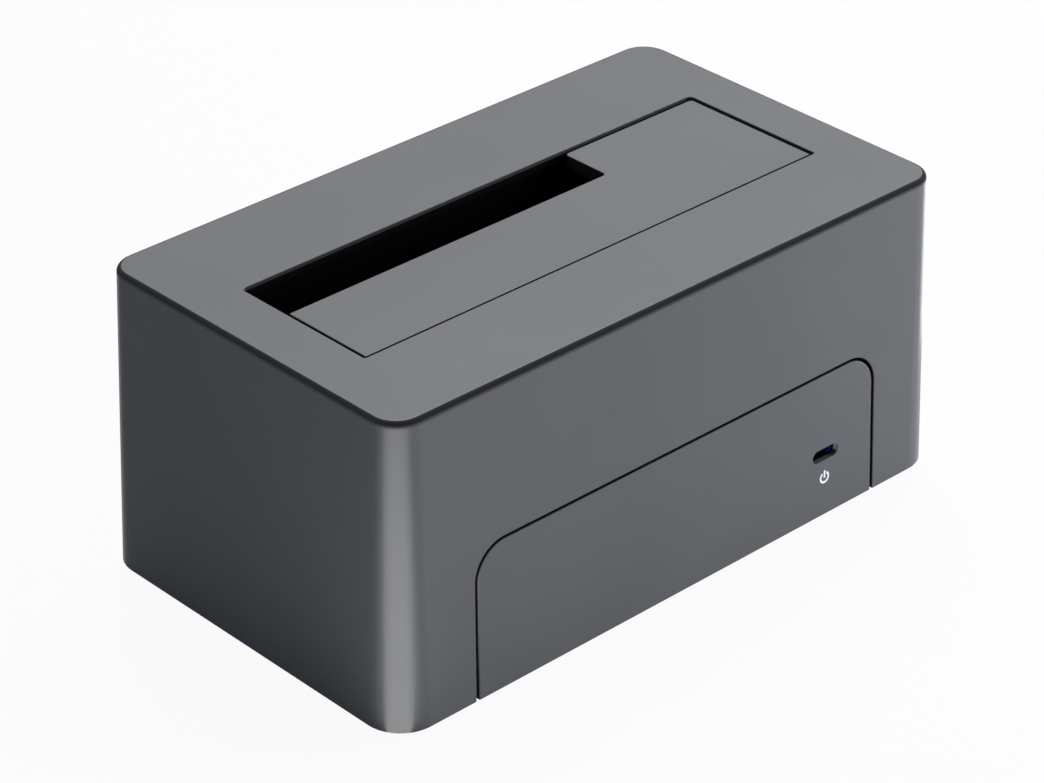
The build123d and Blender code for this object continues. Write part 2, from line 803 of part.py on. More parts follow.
flap_middle = Plane.YZ.offset((flap_left + flap_right) / 2)
right_flap_spring = mirror(left_flap_spring.part, about=flap_middle)
right_flap_spring.label = "right_flap_spring"
export_step(right_flap_spring, "parts/right_flap_spring.step")

# Drive bay: the well under the opening, its guide ribs, its screw ears and the posts over the board
well_middle = ((well_left + well_right) / 2, (well_front + well_back) / 2)
well_length = well_right - well_left
well_width = well_back - well_front
ear_notch = pin_ear_radius + ear_room
guide_top = cover_under - guide_rib_top
side_rib_points = [(x, bay_back - shift) for x in (well_left, well_right) for shift in side_rib_offsets]
with BuildPart() as drive_bay:
    with BuildSketch(Plane.XY.offset(floor_under)):
        with Locations(well_middle):
            RectangleRounded(well_length + 2 * bay_wall, well_width + 2 * bay_wall, bay_corner + bay_wall)
    extrude(amount=well_top - floor_under)
    with BuildSketch(Plane.XY.offset(floor_top)):
        with Locations(well_middle):
            RectangleRounded(well_length, well_width, bay_corner)
    extrude(amount=well_top - floor_top, mode=Mode.SUBTRACT)
    with BuildSketch(Plane.XY.offset(floor_top)):
        with Locations(*[(bay_left + shift, well_back) for shift in back_rib_offsets]):
            Rectangle(guide_rib_width, 2 * bay_setback)
    extrude(amount=guide_top - floor_top)
    with BuildSketch(Plane.XY.offset(floor_top)):
        with Locations(*side_rib_points):
            Rectangle(2 * bay_setback, guide_rib_width)
    extrude(amount=guide_top - floor_top)
    with BuildSketch(Plane.XY.offset(cover_post_end - bay_ear_thickness)):
        for y, side in zip(cover_post_ys, (1, -1)):
            with Locations(*[(x, y + side * bay_wall / 4) for x in cover_post_xs]):
                Rectangle(bay_ear_size, bay_ear_size + bay_wall / 2)
    extrude(amount=bay_ear_thickness)
    with BuildSketch(Plane.XY.offset(board_top)):
        with Locations(*floor_post_points):
            Circle(floor_post_radius)
    extrude(amount=board_to_bay)
    with BuildSketch(Plane.XY.offset(board_top)):
        with Locations(*floor_post_points):
            Circle(small_screw_pilot)
    extrude(amount=board_screw_length - board_thickness + clearance_play, mode=Mode.SUBTRACT)
    with BuildSketch(Plane.XY.offset(cover_post_end)):
        with Locations(*cover_post_points):
            Circle(small_screw_radius + clearance_play)
    extrude(amount=-bay_ear_thickness, mode=Mode.SUBTRACT)
    with BuildSketch(Plane.XY.offset(floor_under)):
        with Locations((socket_x, socket_y)):
            Rectangle(socket_length + 2 * socket_floor_play, socket_width + 2 * socket_floor_play)
    extrude(amount=bay_floor, mode=Mode.SUBTRACT)
    with BuildSketch(Plane.YZ.offset(well_left - bay_wall)):
        with Locations((hinge_y, hinge_z - ear_notch)):
            notch_height = well_top - hinge_z + ear_notch
            Rectangle(2 * ear_notch, notch_height, align=(Align.CENTER, Align.MIN))
    extrude(amount=well_length + 2 * bay_wall, mode=Mode.SUBTRACT)
    with BuildSketch(Plane.XZ.offset(-well_back)):
        with Locations(*[(x, stop_window_bottom) for x in stop_xs]):
            window_rise = well_top - stop_window_bottom
            stop_window_width = stop_width + 2 * stop_window_play
            Rectangle(stop_window_width, window_rise, align=(Align.CENTER, Align.MIN))
    extrude(amount=-bay_wall, mode=Mode.SUBTRACT)
drive_bay.part.label = "drive_bay"
export_step(drive_bay.part, "parts/drive_bay.step")

# Data socket at the rear: places that its shell, its insert and the board share
usb_mouth = wall_reach(board_top + usb_height) - usb_recess
usb_inner_width = usb_width - 2 * usb_shell_thickness
usb_inner_height = usb_height - 2 * usb_shell_thickness
tab_x = usb_width / 2 - usb_shell_thickness / 2
tab_points = [(usb_x + side * tab_x, usb_mouth - usb_tab_setback) for side in (-1, 1)]

# Circuit board, with slots for the shell's tabs and holes for the screws
with BuildPart() as circuit_board:
    with BuildSketch(Plane.XY.offset(board_bottom)):
        with Locations((0, board_middle)):
            RectangleRounded(board_length, board_back - board_front, board_corner)
        with Locations(*floor_post_points):
            Circle(small_screw_radius + clearance_play, mode=Mode.SUBTRACT)
        with Locations(*tab_points):
            slot_size = (usb_shell_thickness + 2 * clearance_play, usb_tab_width + 2 * clearance_play)
            Rectangle(*slot_size, mode=Mode.SUBTRACT)
    extrude(amount=board_thickness)
circuit_board.part.label = "circuit_board"
export_step(circuit_board.part, "parts/circuit_board.step")

# Drive socket: a block with the keyed power and data slots, and a slit for the contacts along each
power_slot_x = socket_x - (data_slot_length + slot_land) / 2
data_slot_x = socket_x + (power_slot_length + slot_land) / 2
contact_y = socket_y + slot_width / 2 + contact_play + contact_thickness / 2
slit_depth = slot_width / 2 + contact_thickness + 2 * contact_play
slots = (
    (power_slot_x, power_slot_length, power_contact_count),
    (data_slot_x, data_slot_length, data_contact_count),
)
with BuildPart() as socket_body:
    with BuildSketch(Plane.XY.offset(board_top)):
        with Locations((socket_x, socket_y)):
            Rectangle(socket_length, socket_width)
    extrude(amount=socket_height)
    chamfer(socket_body.faces().sort_by(Axis.Z)[-1].outer_wire().edges(), length=edge_softening)
    with BuildSketch(Plane.XY.offset(socket_top)):
        for x, length, count in slots:
            with Locations((x, socket_y)):
                Rectangle(length, slot_width)
            with Locations((x - length / 2, socket_y - slot_width / 2)):
                Rectangle(slot_key, slot_key_reach, align=(Align.MIN, Align.MAX))
    extrude(amount=-slot_depth, mode=Mode.SUBTRACT)
    with BuildSketch(Plane.XY.offset(board_top)):
        for x, length, count in slots:
            with Locations((x, socket_y)):
                slit_length = (count - 1) * contact_pitch + contact_width + 2 * contact_play
                Rectangle(slit_length, slit_depth, align=(Align.CENTER, Align.MIN))
    extrude(amount=socket_height, mode=Mode.SUBTRACT)
socket_body.part.label = "socket_body"
export_step(socket_body.part, "parts/socket_body.step")

with BuildPart() as socket_contacts:
    with BuildSketch(Plane.XY.offset(board_top)):
        for x, length, count in slots:
            with Locations((x, contact_y)):
                with GridLocations(contact_pitch, 0, count, 1):
                    Rectangle(contact_width, contact_thickness)
    extrude(amount=socket_height - contact_top_drop)
socket_contacts.part.label = "socket_contacts"
export_step(socket_contacts.part, "parts/socket_contacts.step")

# Data socket: a folded steel shell with two tabs through the board
with BuildPart() as usb_shell:
    with BuildSketch(Plane.XZ.offset(-usb_mouth)):
        with Locations((usb_x, usb_z)):
            Rectangle(usb_width, usb_height)
    extrude(amount=usb_depth)
    with BuildSketch(Plane.XZ.offset(-usb_mouth)):
        with Locations((usb_x, usb_z)):
            Rectangle(usb_inner_width, usb_inner_height)
    extrude(amount=usb_depth - usb_shell_thickness, mode=Mode.SUBTRACT)
    with BuildSketch(Plane.XY.offset(board_top + usb_shell_thickness)):
        with Locations(*tab_points):
            Rectangle(usb_shell_thickness, usb_tab_width)
    extrude(amount=-(usb_shell_thickness + usb_tab_drop))
usb_shell.part.label = "usb_shell"
export_step(usb_shell.part, "parts/usb_shell.step")

# Its insert: the square mouth with the narrow step above, and the tongue in the square part
mouth_bottom = usb_z - (usb_mouth_height + usb_step_height) / 2
mouth_top = mouth_bottom + usb_mouth_height
tongue_z = mouth_bottom + usb_mouth_height / 2
tongue_end = usb_mouth - usb_tongue_setback
mouth_floor = usb_mouth - usb_mouth_depth
with BuildPart() as usb_insert:
    with BuildSketch(Plane.XZ.offset(-usb_mouth)):
        with Locations((usb_x, usb_z)):
            Rectangle(usb_inner_width - 2 * usb_fit, usb_inner_height - 2 * usb_fit)
    extrude(amount=usb_depth - usb_shell_thickness - usb_fit)
    with BuildSketch(Plane.XZ.offset(-usb_mouth)) as mouth:
        with Locations((usb_x, mouth_bottom)):
            Rectangle(usb_mouth_width, usb_mouth_height, align=(Align.CENTER, Align.MIN))
        chamfer(mouth.vertices().group_by(Axis.Y)[-1], length=usb_mouth_chamfer)
        with Locations((usb_x, mouth_top - overshoot)):
            Rectangle(usb_step_width, usb_step_height + overshoot, align=(Align.CENTER, Align.MIN))
    extrude(amount=usb_mouth_depth, mode=Mode.SUBTRACT)
    with BuildSketch(Plane.XZ.offset(-tongue_end)):
        with Locations((usb_x, tongue_z)):
            Rectangle(usb_tongue_width, usb_tongue_height)
    extrude(amount=tongue_end - mouth_floor)
usb_insert.part.label = "usb_insert"
export_step(usb_insert.part, "parts/usb_insert.step")

# Its contacts: two above and two below the tongue, and a row under the ceiling of the step
with BuildPart() as usb_contacts:
    with BuildSketch(Plane.XZ.offset(-(tongue_end - usb_tongue_setback))):
        strip_z = usb_tongue_height / 2 + usb_contact_thickness / 2
        for z in (tongue_z - strip_z, tongue_z + strip_z):
            with Locations((usb_x, z)):
                with GridLocations(2 * usb_contact_pitch, 0, usb_tongue_contacts, 1):
                    Rectangle(usb_contact_width, usb_contact_thickness)
        with Locations((usb_x, mouth_top + usb_step_height - usb_contact_thickness / 2)):
            with GridLocations(usb_step_width / usb_step_contacts, 0, usb_step_contacts, 1):
                Rectangle(usb_contact_width, usb_contact_thickness)
    extrude(amount=tongue_end - usb_tongue_setback - mouth_floor)
usb_contacts.part.label = "usb_contacts"
export_step(usb_contacts.part, "parts/usb_contacts.step")

# Power inlet: a box with a round nose in the rear wall, a bore and a centre pin
jack_face = wall_reach(jack_z) - jack_recess
jack_box_face = jack_face - jack_nose_length
bore_floor = jack_face - jack_bore_depth
with BuildPart() as jack_body:
    with BuildSketch(Plane.XZ.offset(-jack_box_face)):
        with Locations((jack_x, board_top)):
            Rectangle(jack_width, jack_height, align=(Align.CENTER, Align.MIN))
    extrude(amount=jack_depth)
    with BuildSketch(Plane.XZ.offset(-jack_face)):
        with Locations((jack_x, jack_z)):
            Circle(jack_nose_radius)
    extrude(amount=jack_nose_length)
    with BuildSketch(Plane.XZ.offset(-jack_face)):
        with Locations((jack_x, jack_z)):
            Circle(jack_bore_radius)
    extrude(amount=jack_bore_depth, mode=Mode.SUBTRACT)
    chamfer(jack_body.faces().sort_by(Axis.Y)[-1].inner_wires().edges(), length=jack_edge)
    with BuildSketch(Plane.XZ.offset(-bore_floor)):
        with Locations((jack_x, jack_z)):
            Circle(jack_pin_radius + jack_pin_play)
    extrude(amount=jack_pin_root, mode=Mode.SUBTRACT)
jack_body.part.label = "jack_body"
export_step(jack_body.part, "parts/jack_body.step")

with BuildPart() as jack_pin:
    with BuildSketch(Plane.XZ.offset(jack_pin_root - bore_floor)):
        with Locations((jack_x, jack_z)):
            Circle(jack_pin_radius)
    extrude(amount=-(jack_bore_depth + jack_pin_root - jack_pin_setback))
    fillet(jack_pin.faces().sort_by(Axis.Y)[-1].edges(), radius=jack_pin_radius / 2)
jack_pin.part.label = "jack_pin"
export_step(jack_pin.part, "parts/jack_pin.step")

# Power button: a round cap in the rear wall, a flange behind the wall and a socket for the plunger
button_face = wall_reach(button_z) + button_proud
flange_face = pad_face - switch_play
neck_end = button_face - button_length
with BuildPart() as power_button:
    with BuildSketch(Plane.XZ.offset(-button_face)):
        with Locations((button_x, button_z)):
            Circle(button_radius)
    extrude(amount=button_face - flange_face)
    fillet(power_button.faces().sort_by(Axis.Y)[-1].edges(), radius=button_edge)
    with BuildSketch(Plane.XZ.offset(-flange_face)):
        with Locations((button_x, button_z)):
            Circle(button_radius + button_flange)
    extrude(amount=button_flange_thickness)
    with BuildSketch(Plane.XZ.offset(-flange_face)):
        with Locations((button_x, button_z)):
            Circle(button_neck_radius)
    extrude(amount=flange_face - neck_end)
    with BuildSketch(Plane.XZ.offset(-neck_end)):
        with Locations((button_x, button_z)):
            Rectangle(plunger_size + 2 * plunger_play, plunger_size + 2 * plunger_play)
    extrude(amount=-plunger_grip, mode=Mode.SUBTRACT)
power_button.part.label = "power_button"
export_step(power_button.part, "parts/power_button.step")

# Power switch: a hollow box, the plunger with its collar, and the return spring behind the collar
switch_face = neck_end - button_travel - switch_clear
collar_face = switch_face - switch_wall - switch_play
collar_back = collar_face - collar_thickness
switch_back = switch_face - switch_depth + switch_wall
with BuildPart() as switch_body:
    with BuildSketch(Plane.XZ.offset(-switch_face)):
        with Locations((button_x, board_top)):
            Rectangle(switch_width, switch_height, align=(Align.CENTER, Align.MIN))
    extrude(amount=switch_depth)
    with BuildSketch(Plane.XZ.offset(-(switch_face - switch_wall))):
        with Locations((button_x, board_top + switch_height / 2)):
            Rectangle(switch_width - 2 * switch_wall, switch_height - 2 * switch_wall)
    extrude(amount=switch_depth - 2 * switch_wall, mode=Mode.SUBTRACT)
    with BuildSketch(Plane.XZ.offset(-switch_face)):
        with Locations((button_x, button_z)):
            Rectangle(plunger_size + 2 * switch_play, plunger_size + 2 * switch_play)
    extrude(amount=switch_wall, mode=Mode.SUBTRACT)
switch_body.part.label = "switch_body"
export_step(switch_body.part, "parts/switch_body.step")

with BuildPart() as switch_plunger:
    with BuildSketch(Plane.XZ.offset(-(neck_end + plunger_grip - plunger_play))):
        with Locations((button_x, button_z)):
            Rectangle(plunger_size, plunger_size)
    extrude(amount=neck_end + plunger_grip - plunger_play - collar_face)
    with BuildSketch(Plane.XZ.offset(-collar_face)):
        with Locations((button_x, button_z)):
            Rectangle(collar_size, collar_size)
    extrude(amount=collar_thickness)
switch_plunger.part.label = "switch_plunger"
export_step(switch_plunger.part, "parts/switch_plunger.step")

spring_room = collar_back - switch_back - 2 * switch_play
switch_coil_run = spring_room - switch_spring_wire
switch_coil_base = Plane(
    origin=(button_x, switch_back + switch_play + switch_spring_wire / 2, button_z),
    x_dir=(0, 0, -1),
    z_dir=(0, 1, 0),
)
with BuildPart() as switch_spring:
    with BuildLine() as switch_spring_line:
        coil_pitch = switch_coil_run / switch_spring_turns
        switch_spots = coil_arcs(
            switch_coil_base, switch_spring_radius, coil_pitch, switch_spring_turns, half_turn
        )
    with BuildSketch(Plane(origin=switch_spots[0][0], z_dir=switch_spots[0][1])):
        Circle(switch_spring_wire / 2)
    sweep(path=switch_spring_line.line)
switch_gap = least_gap(switch_spring_line.wire(), switch_spring_wire, switch_spring_radius)
print("switch spring: least gap between turns", switch_gap)
switch_spring.part.label = "switch_spring"
export_step(switch_spring.part, "parts/switch_spring.step")

# Lamp behind the window: a small round lamp that lies level, its leads turned down to the board
lamp_front = lens_back + lens_pipe + lamp_gap
lamp_back = lamp_front + lamp_length
lead_end = lamp_back + lead_reach
with BuildPart() as status_led:
    with BuildSketch(Plane.XZ.offset(-lamp_front)):
        with Locations((window_x, window_z)):
            Circle(lamp_radius)
    extrude(amount=-lamp_length)
    fillet(status_led.faces().sort_by(Axis.Y)[0].edges(), radius=lamp_dome)
    with BuildSketch(Plane.XZ.offset(-lamp_back)):
        with Locations((window_x, window_z)):
            Circle(lamp_radius + lamp_rim)
    extrude(amount=lamp_rim_length)
    with BuildSketch(Plane.XZ.offset(-lamp_back)):
        with Locations((window_x, window_z)):
            with GridLocations(lead_spacing, 0, 2, 1):
                Rectangle(lead_width, lead_width)
    extrude(amount=-lead_reach)
    with BuildSketch(Plane.XY.offset(board_top)):
        with Locations((window_x, lead_end)):
            with GridLocations(lead_spacing, 0, 2, 1):
                Rectangle(lead_width, lead_width, align=(Align.CENTER, Align.MIN))
    extrude(amount=window_z + lead_width / 2 - board_top)
status_led.part.label = "status_led"
export_step(status_led.part, "parts/status_led.step")

with BuildPart() as led_spacer:
    with BuildSketch(Plane.XY.offset(board_top)):
        with Locations((window_x, lamp_back + lead_play)):
            Rectangle(spacer_width, spacer_depth, align=(Align.CENTER, Align.MIN))
    extrude(amount=window_z + lamp_radius + lamp_rim - board_top)
    with BuildSketch(Plane.XZ.offset(-lamp_back)):
        with Locations((window_x, window_z)):
            with GridLocations(lead_spacing, 0, 2, 1):
                Rectangle(lead_width + 2 * lead_play, lead_width + 2 * lead_play)
    extrude(amount=-lead_reach, mode=Mode.SUBTRACT)
led_spacer.part.label = "led_spacer"
export_step(led_spacer.part, "parts/led_spacer.step")

# Parts on the board
front_row = board_front + front_parts_inset
rear_row = board_back - rear_parts_inset
with BuildPart() as bridge_chip:
    with BuildSketch(Plane.XY.offset(board_top)):
        with Locations((chip_x, front_row)):
            Rectangle(chip_size, chip_size)
    extrude(amount=chip_height)
    chamfer(bridge_chip.faces().sort_by(Axis.Z)[-1].edges(), length=chip_edge)
bridge_chip.part.label = "bridge_chip"
export_step(bridge_chip.part, "parts/bridge_chip.step")

with BuildPart() as crystal:
    with BuildSketch(Plane.XY.offset(board_top)):
        with Locations((crystal_x, front_row)):
            SlotOverall(crystal_length, crystal_width)
    extrude(amount=crystal_height)
    fillet(crystal.faces().sort_by(Axis.Z)[-1].edges(), radius=edge_softening)
crystal.part.label = "crystal"
export_step(crystal.part, "parts/crystal.step")

with BuildPart() as capacitors:
    with BuildSketch(Plane.XY.offset(board_top)):
        with Locations(*[(x, front_row) for x in capacitor_xs]):
            Rectangle(2 * capacitor_radius + 2 * edge_softening, 2 * capacitor_radius + 2 * edge_softening)
    extrude(amount=capacitor_base)
    with BuildSketch(Plane.XY.offset(board_top + capacitor_base)):
        with Locations(*[(x, front_row) for x in capacitor_xs]):
            Circle(capacitor_radius)
    extrude(amount=capacitor_height - capacitor_base)
    chamfer(capacitors.faces().filter_by(Axis.Z).group_by(Axis.Z)[-1].edges(), length=edge_softening)
capacitors.part.label = "capacitors"
export_step(capacitors.part, "parts/capacitors.step")

with BuildPart() as inductors:
    with BuildSketch(Plane.XY.offset(board_top)):
        with Locations(*[(x, front_row) for x in inductor_xs]):
            RectangleRounded(inductor_size, inductor_size, board_corner)
    extrude(amount=inductor_height)
    chamfer(inductors.faces().filter_by(Axis.Z).group_by(Axis.Z)[-1].edges(), length=edge_softening)
inductors.part.label = "inductors"
export_step(inductors.part, "parts/inductors.step")

with BuildPart() as regulators:
    with BuildSketch(Plane.XY.offset(board_top)):
        with Locations(*[(x, rear_row) for x in regulator_xs]):
            Rectangle(regulator_length, regulator_width)
    extrude(amount=regulator_height)
    chamfer(regulators.faces().filter_by(Axis.Z).group_by(Axis.Z)[-1].edges(), length=chip_edge)
    with BuildSketch(Plane.XY.offset(board_top)):
        for x in regulator_xs:
            with Locations((x, rear_row)):
                with GridLocations(lead_pitch, 0, 3, 1):
                    Rectangle(lead_width, regulator_width + 2 * lead_pitch)
    extrude(amount=lead_width / 2)
regulators.part.label = "regulators"
export_step(regulators.part, "parts/regulators.step")
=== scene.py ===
import math

import bmesh
import bpy
from mathutils import Matrix, Vector


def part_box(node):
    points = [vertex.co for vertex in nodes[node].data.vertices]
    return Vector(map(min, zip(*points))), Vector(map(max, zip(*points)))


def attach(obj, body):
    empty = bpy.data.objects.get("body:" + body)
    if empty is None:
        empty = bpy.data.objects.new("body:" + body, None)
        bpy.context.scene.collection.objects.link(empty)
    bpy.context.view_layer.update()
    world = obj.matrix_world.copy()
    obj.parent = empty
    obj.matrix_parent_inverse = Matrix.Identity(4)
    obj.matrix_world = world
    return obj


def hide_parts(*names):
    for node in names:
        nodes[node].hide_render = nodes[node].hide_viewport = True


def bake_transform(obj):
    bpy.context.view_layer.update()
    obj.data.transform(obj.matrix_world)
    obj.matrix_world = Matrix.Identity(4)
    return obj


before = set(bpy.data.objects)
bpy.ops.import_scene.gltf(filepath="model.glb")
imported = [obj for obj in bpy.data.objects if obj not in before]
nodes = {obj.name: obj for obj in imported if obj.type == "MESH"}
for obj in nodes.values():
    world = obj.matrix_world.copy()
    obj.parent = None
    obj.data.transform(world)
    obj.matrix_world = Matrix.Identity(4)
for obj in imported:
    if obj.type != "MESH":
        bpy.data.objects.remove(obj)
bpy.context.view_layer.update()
mm = 0.001
cloudSpan = (0.35, 0.65)  # the part of the noise that is spread over its whole effect
grainSpan = (0.3, 0.7)
grainSwing = 0.04  # how far the grain moves the roughness, up or down
print("frame loaded:", len(nodes), "nodes")


# Node helpers shared by the finishes
def newMaterial(name):
    material = bpy.data.materials.new(name)
    material.use_nodes = True
    tree = material.node_tree
    return material, tree, tree.nodes["Principled BSDF"]


def objectPoint(tree, stretch=(1, 1, 1)):
    place = tree.nodes.new("ShaderNodeTexCoord")
    mapping = tree.nodes.new("ShaderNodeMapping")
    mapping.inputs["Scale"].default_value = stretch
    tree.links.new(place.outputs["Object"], mapping.inputs["Vector"])
    return mapping.outputs["Vector"]


def noise(tree, point, size, detail=2.0):
    texture = tree.nodes.new("ShaderNodeTexNoise")
    texture.inputs["Scale"].default_value = 1 / size  # size is the width of one grain in metres
    texture.inputs["Detail"].default_value = detail
    tree.links.new(point, texture.inputs["Vector"])
    return texture.outputs["Fac"]


def ramp(tree, value, stops):
    band = tree.nodes.new("ShaderNodeValToRGB")
    elements = band.color_ramp.elements
    while len(elements) < len(stops):
        elements.new(0.5)
    for element, (position, colour) in zip(elements, stops):
        element.position = position
        element.color = (*colour, 1)
    tree.links.new(value, band.inputs["Fac"])
    return band.outputs["Color"]


def remap(tree, value, low, high, toLow=0.0, toHigh=1.0):
    span = tree.nodes.new("ShaderNodeMapRange")
    span.inputs["From Min"].default_value = low
    span.inputs["From Max"].default_value = high
    span.inputs["To Min"].default_value = toLow
    span.inputs["To Max"].default_value = toHigh
    tree.links.new(value, span.inputs["Value"])
    return span.outputs["Result"]


def mixColour(tree, share, first, second):
    mix = tree.nodes.new("ShaderNodeMix")
    mix.data_type = "RGBA"
    for socket, value in ((mix.inputs["Factor"], share), (mix.inputs["A"], first), (mix.inputs["B"], second)):
        if hasattr(value, "links"):
            tree.links.new(value, socket)
        elif isinstance(value, tuple):
            socket.default_value = (*value, 1)
        else:
            socket.default_value = value
    return mix.outputs["Result"]


def bumpFrom(tree, shader, height, depth):
    bump = tree.nodes.new("ShaderNodeBump")
    bump.inputs["Strength"].default_value = 1.0
    bump.inputs["Distance"].default_value = depth
    tree.links.new(height, bump.inputs["Height"])
    tree.links.new(bump.outputs["Normal"], shader.inputs["Normal"])


def shade(colour, factor):
    return tuple(part * factor for part in colour)


def objectAxis(tree, axis):
    axes = tree.nodes.new("ShaderNodeSeparateXYZ")
    tree.links.new(objectPoint(tree), axes.inputs["Vector"])
    return axes.outputs[axis]


def facing(tree, axis):
    place = tree.nodes.new("ShaderNodeTexCoord")
    axes = tree.nodes.new("ShaderNodeSeparateXYZ")
    tree.links.new(place.outputs["Normal"], axes.inputs["Vector"])
    return axes.outputs[axis]


def distanceFrom(tree, centre):
    gap = tree.nodes.new("ShaderNodeVectorMath")
    gap.operation = "DISTANCE"
    tree.links.new(objectPoint(tree, (1, 0, 1)), gap.inputs[0])
    gap.inputs[1].default_value = centre
    return gap.outputs["Value"]


def calculate(tree, operation, first, second=0.0):
    step = tree.nodes.new("ShaderNodeMath")
    step.operation = operation
    for socket, value in zip(step.inputs, (first, second)):
        if hasattr(value, "links"):
            tree.links.new(value, socket)
        else:
            socket.default_value = value
    return step.outputs["Value"]


# 1 inside the given spans of the piece's coordinates, 0 outside them
def inBox(tree, **spans):
    inside = 1.0
    for axis, (low, high) in spans.items():
        place = objectAxis(tree, axis)
        inside = calculate(tree, "MULTIPLY", inside, calculate(tree, "GREATER_THAN", place, low))
        inside = calculate(tree, "MULTIPLY", inside, calculate(tree, "LESS_THAN", place, high))
    return inside


# Moulded plastic: fine spark-eroded grain, a faint cloudiness in its tone. Where flatRoughness is given,
# the flat walls are duller than the rounded corners, which the mould keeps smoother
def mouldedPlastic(name, look):
    material, tree, shader = newMaterial(name)
    point = objectPoint(tree)
    cloud = remap(tree, noise(tree, point, look["cloudSize"]), *cloudSpan)
    darker, paler = (shade(look["colour"], 1 + turn * look["cloud"]) for turn in (-1, 1))
    colour = mixColour(tree, cloud, darker, paler)
    grain = noise(tree, point, look["grainSize"], detail=3.0)
    rough = look["roughness"]
    if "flatRoughness" in look:
        across, along = (calculate(tree, "ABSOLUTE", facing(tree, axis)) for axis in "XY")
        flat = calculate(tree, "MAXIMUM", across, along)
        rough = remap(tree, flat, *look["flatSpan"], look["roughness"], look["flatRoughness"])
    rough = calculate(tree, "ADD", remap(tree, grain, *grainSpan, -grainSwing, grainSwing), rough)
    tree.links.new(colour, shader.inputs["Base Color"])
    tree.links.new(rough, shader.inputs["Roughness"])
    shader.inputs["Specular IOR Level"].default_value = look["specular"]
    bumpFrom(tree, shader, grain, look["grainDepth"])
    return material, tree, shader, colour


caseFinish = {
    "colour": (0.127, 0.1278, 0.1305),
    "cloud": 0.02,
    "cloudSize": 22 * mm,
    "grainSize": 0.28 * mm,
    "grainDepth": 0.012 * mm,
    "roughness": 0.37,
    "flatRoughness": 0.85,
    "flatSpan": (0.93, 0.995),
    "specular": 0.22,
}
# Painted shade: the rolled rim's dark band, darker still where it faces forward, stands in for its dark
# reflection
rimShadeFinish = {
    "top": 58.296 * mm,
    "steps": ((58.27 * mm, 0.16), (57.8 * mm, 0.2), (57.0 * mm, 1.0)),
    "frontShade": 0.35,
    "frontFacing": (-0.75, -0.25),
    "bandSpan": (0.2, 1.0),
    "roughness": 0.9,
}
# Painted shade: the opening's inner walls are painted near black and its thin lip dark grey, where the slot
# lies in shade
recessShade = {
    "x": (-51.8 * mm, 52.6 * mm),
    "y": (-16.62 * mm, 14.12 * mm),
    "lipTop": 58.2 * mm,
    "lipBottom": 57.6 * mm,
    "lipShade": 0.3,
    "tone": 0.03,
}
# Painted shade: the housing's wall is painted black where it lies deep in the front groove
grooveShadeFinish = {
    "x": (-52 * mm, 52 * mm),
    "y": (-50 * mm, -30 * mm),
    "z": (0, 40 * mm),
    "deep": (0.04 * mm, 0.12 * mm),
    "tone": 0.05,
}
# Painted shade: the flap is painted black below its skin
flapShadeFinish = {"edgeTop": 58.06 * mm, "edgeBottom": 58.0 * mm, "edgeShade": 0.05}
# Painted shade on the panel's groove edge and window walls, and a painted highlight at the window's right end
panelFinish = {
    "edge": 0.08 * mm,
    "deep": 0.35 * mm,
    "edgeShade": 0.05,
    "holeShade": 0.45,
    "holeX": (32.0 * mm, 38.8 * mm),
    "holeZ": (11.9 * mm, 14.7 * mm),
    "endAt": (38.6 * mm, 0, 13.35 * mm),
    "endReach": (0.8 * mm, 0.35 * mm),
    "endHighlight": (0.9, 0.9, 0.92),
}


# Depth behind the sloping front wall
def frontDepth(tree):
    low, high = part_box("housing")
    slope = (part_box("top_cover")[0][1] - low[1]) / (high[2] - low[2])
    face = calculate(tree, "MULTIPLY_ADD", objectAxis(tree, "Z"), slope)
    face.node.inputs[2].default_value = low[1] - low[2] * slope
    return calculate(tree, "SUBTRACT", objectAxis(tree, "Y"), face)


